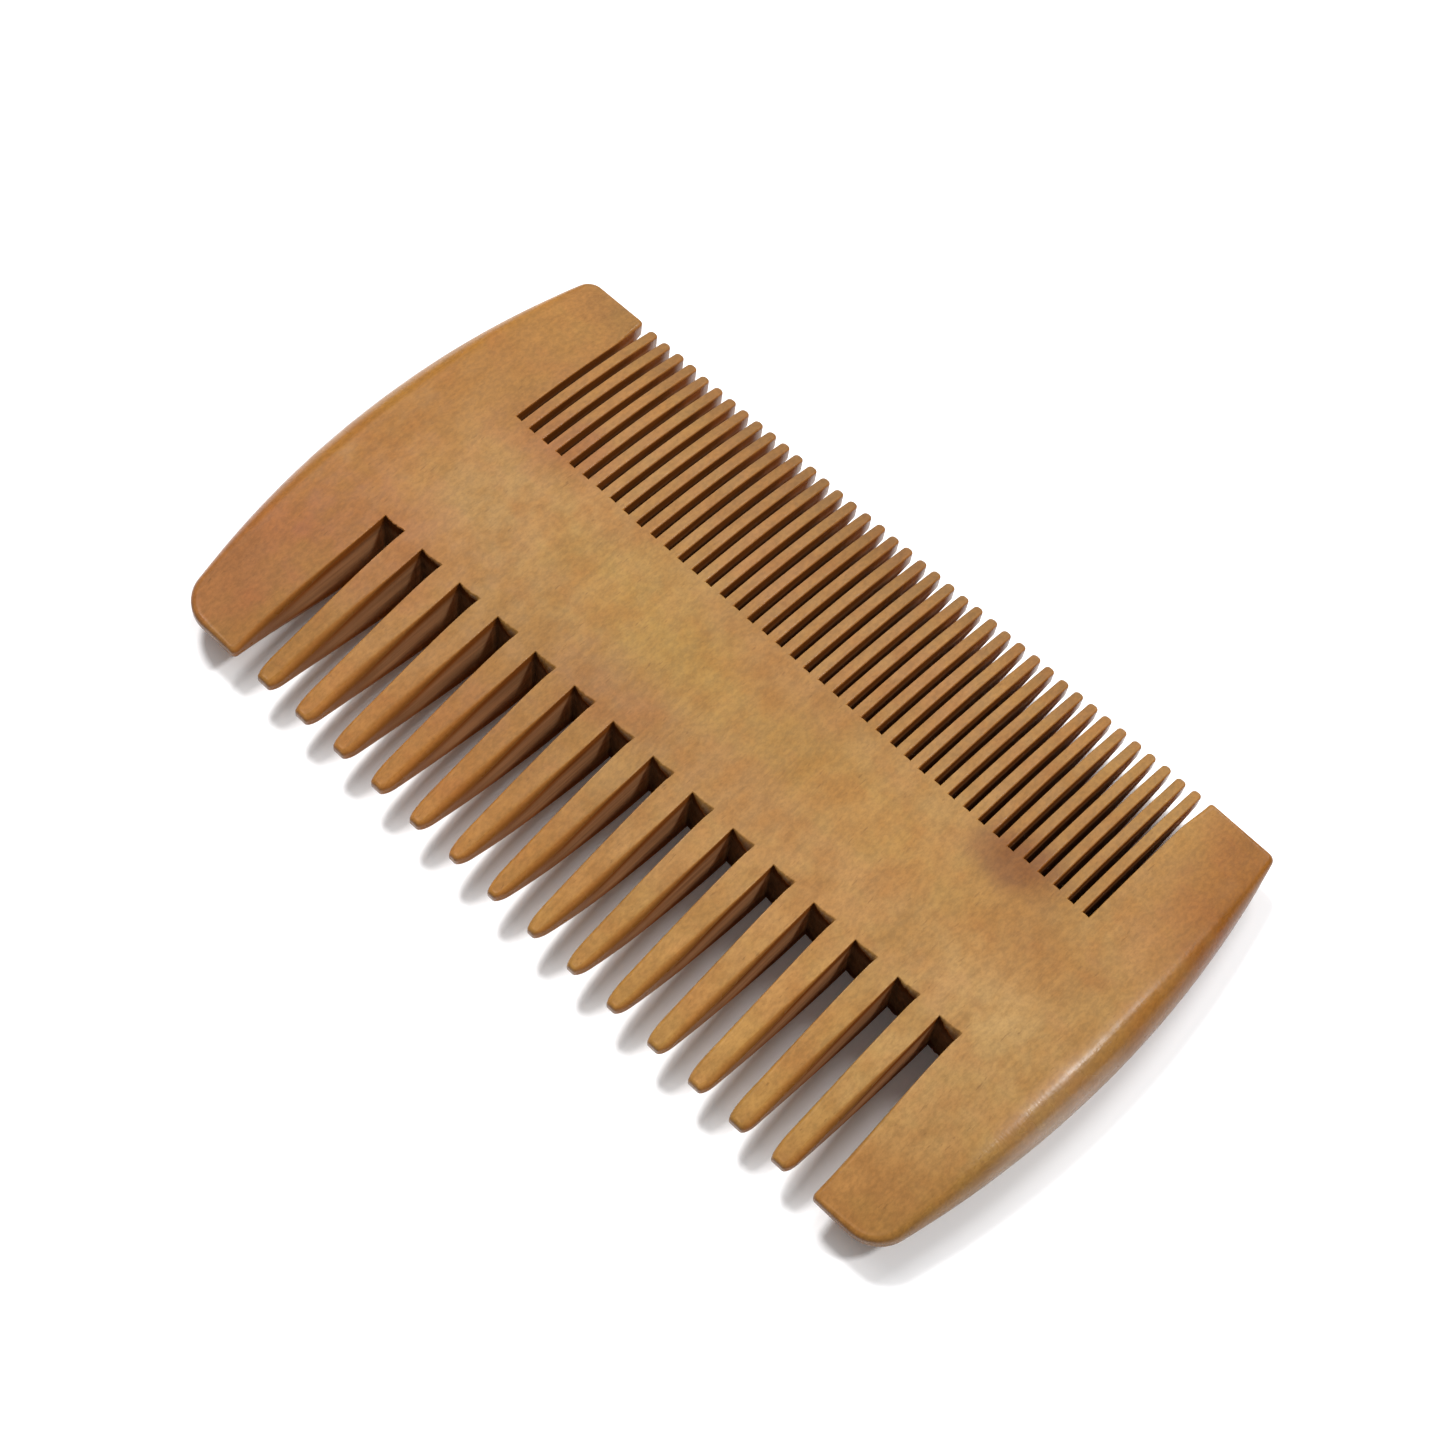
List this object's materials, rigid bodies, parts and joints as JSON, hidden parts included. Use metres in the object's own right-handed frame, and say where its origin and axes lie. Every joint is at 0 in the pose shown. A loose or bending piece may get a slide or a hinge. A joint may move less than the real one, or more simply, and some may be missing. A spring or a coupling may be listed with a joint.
{
  "type": "beard comb",
  "caption": "Flat one-piece wooden comb with wide teeth along one long side, fine teeth along the other, and a lens-shaped section.",
  "frame": {"origin": "centre of the comb's bounding box, on the plane half way through its thickness", "axes": "+X along the comb's length, +Y across it from the wide teeth towards the fine teeth, +Z out of one flat face"},
  "size_m": [0.1057, 0.0598, 0.0086],
  "materials": {
    "wood": "fine-sanded and waxed to a satin sheen"
  },
  "bodies": {
    "root": {"comb": "wood"}
  },
  "joints": []
}
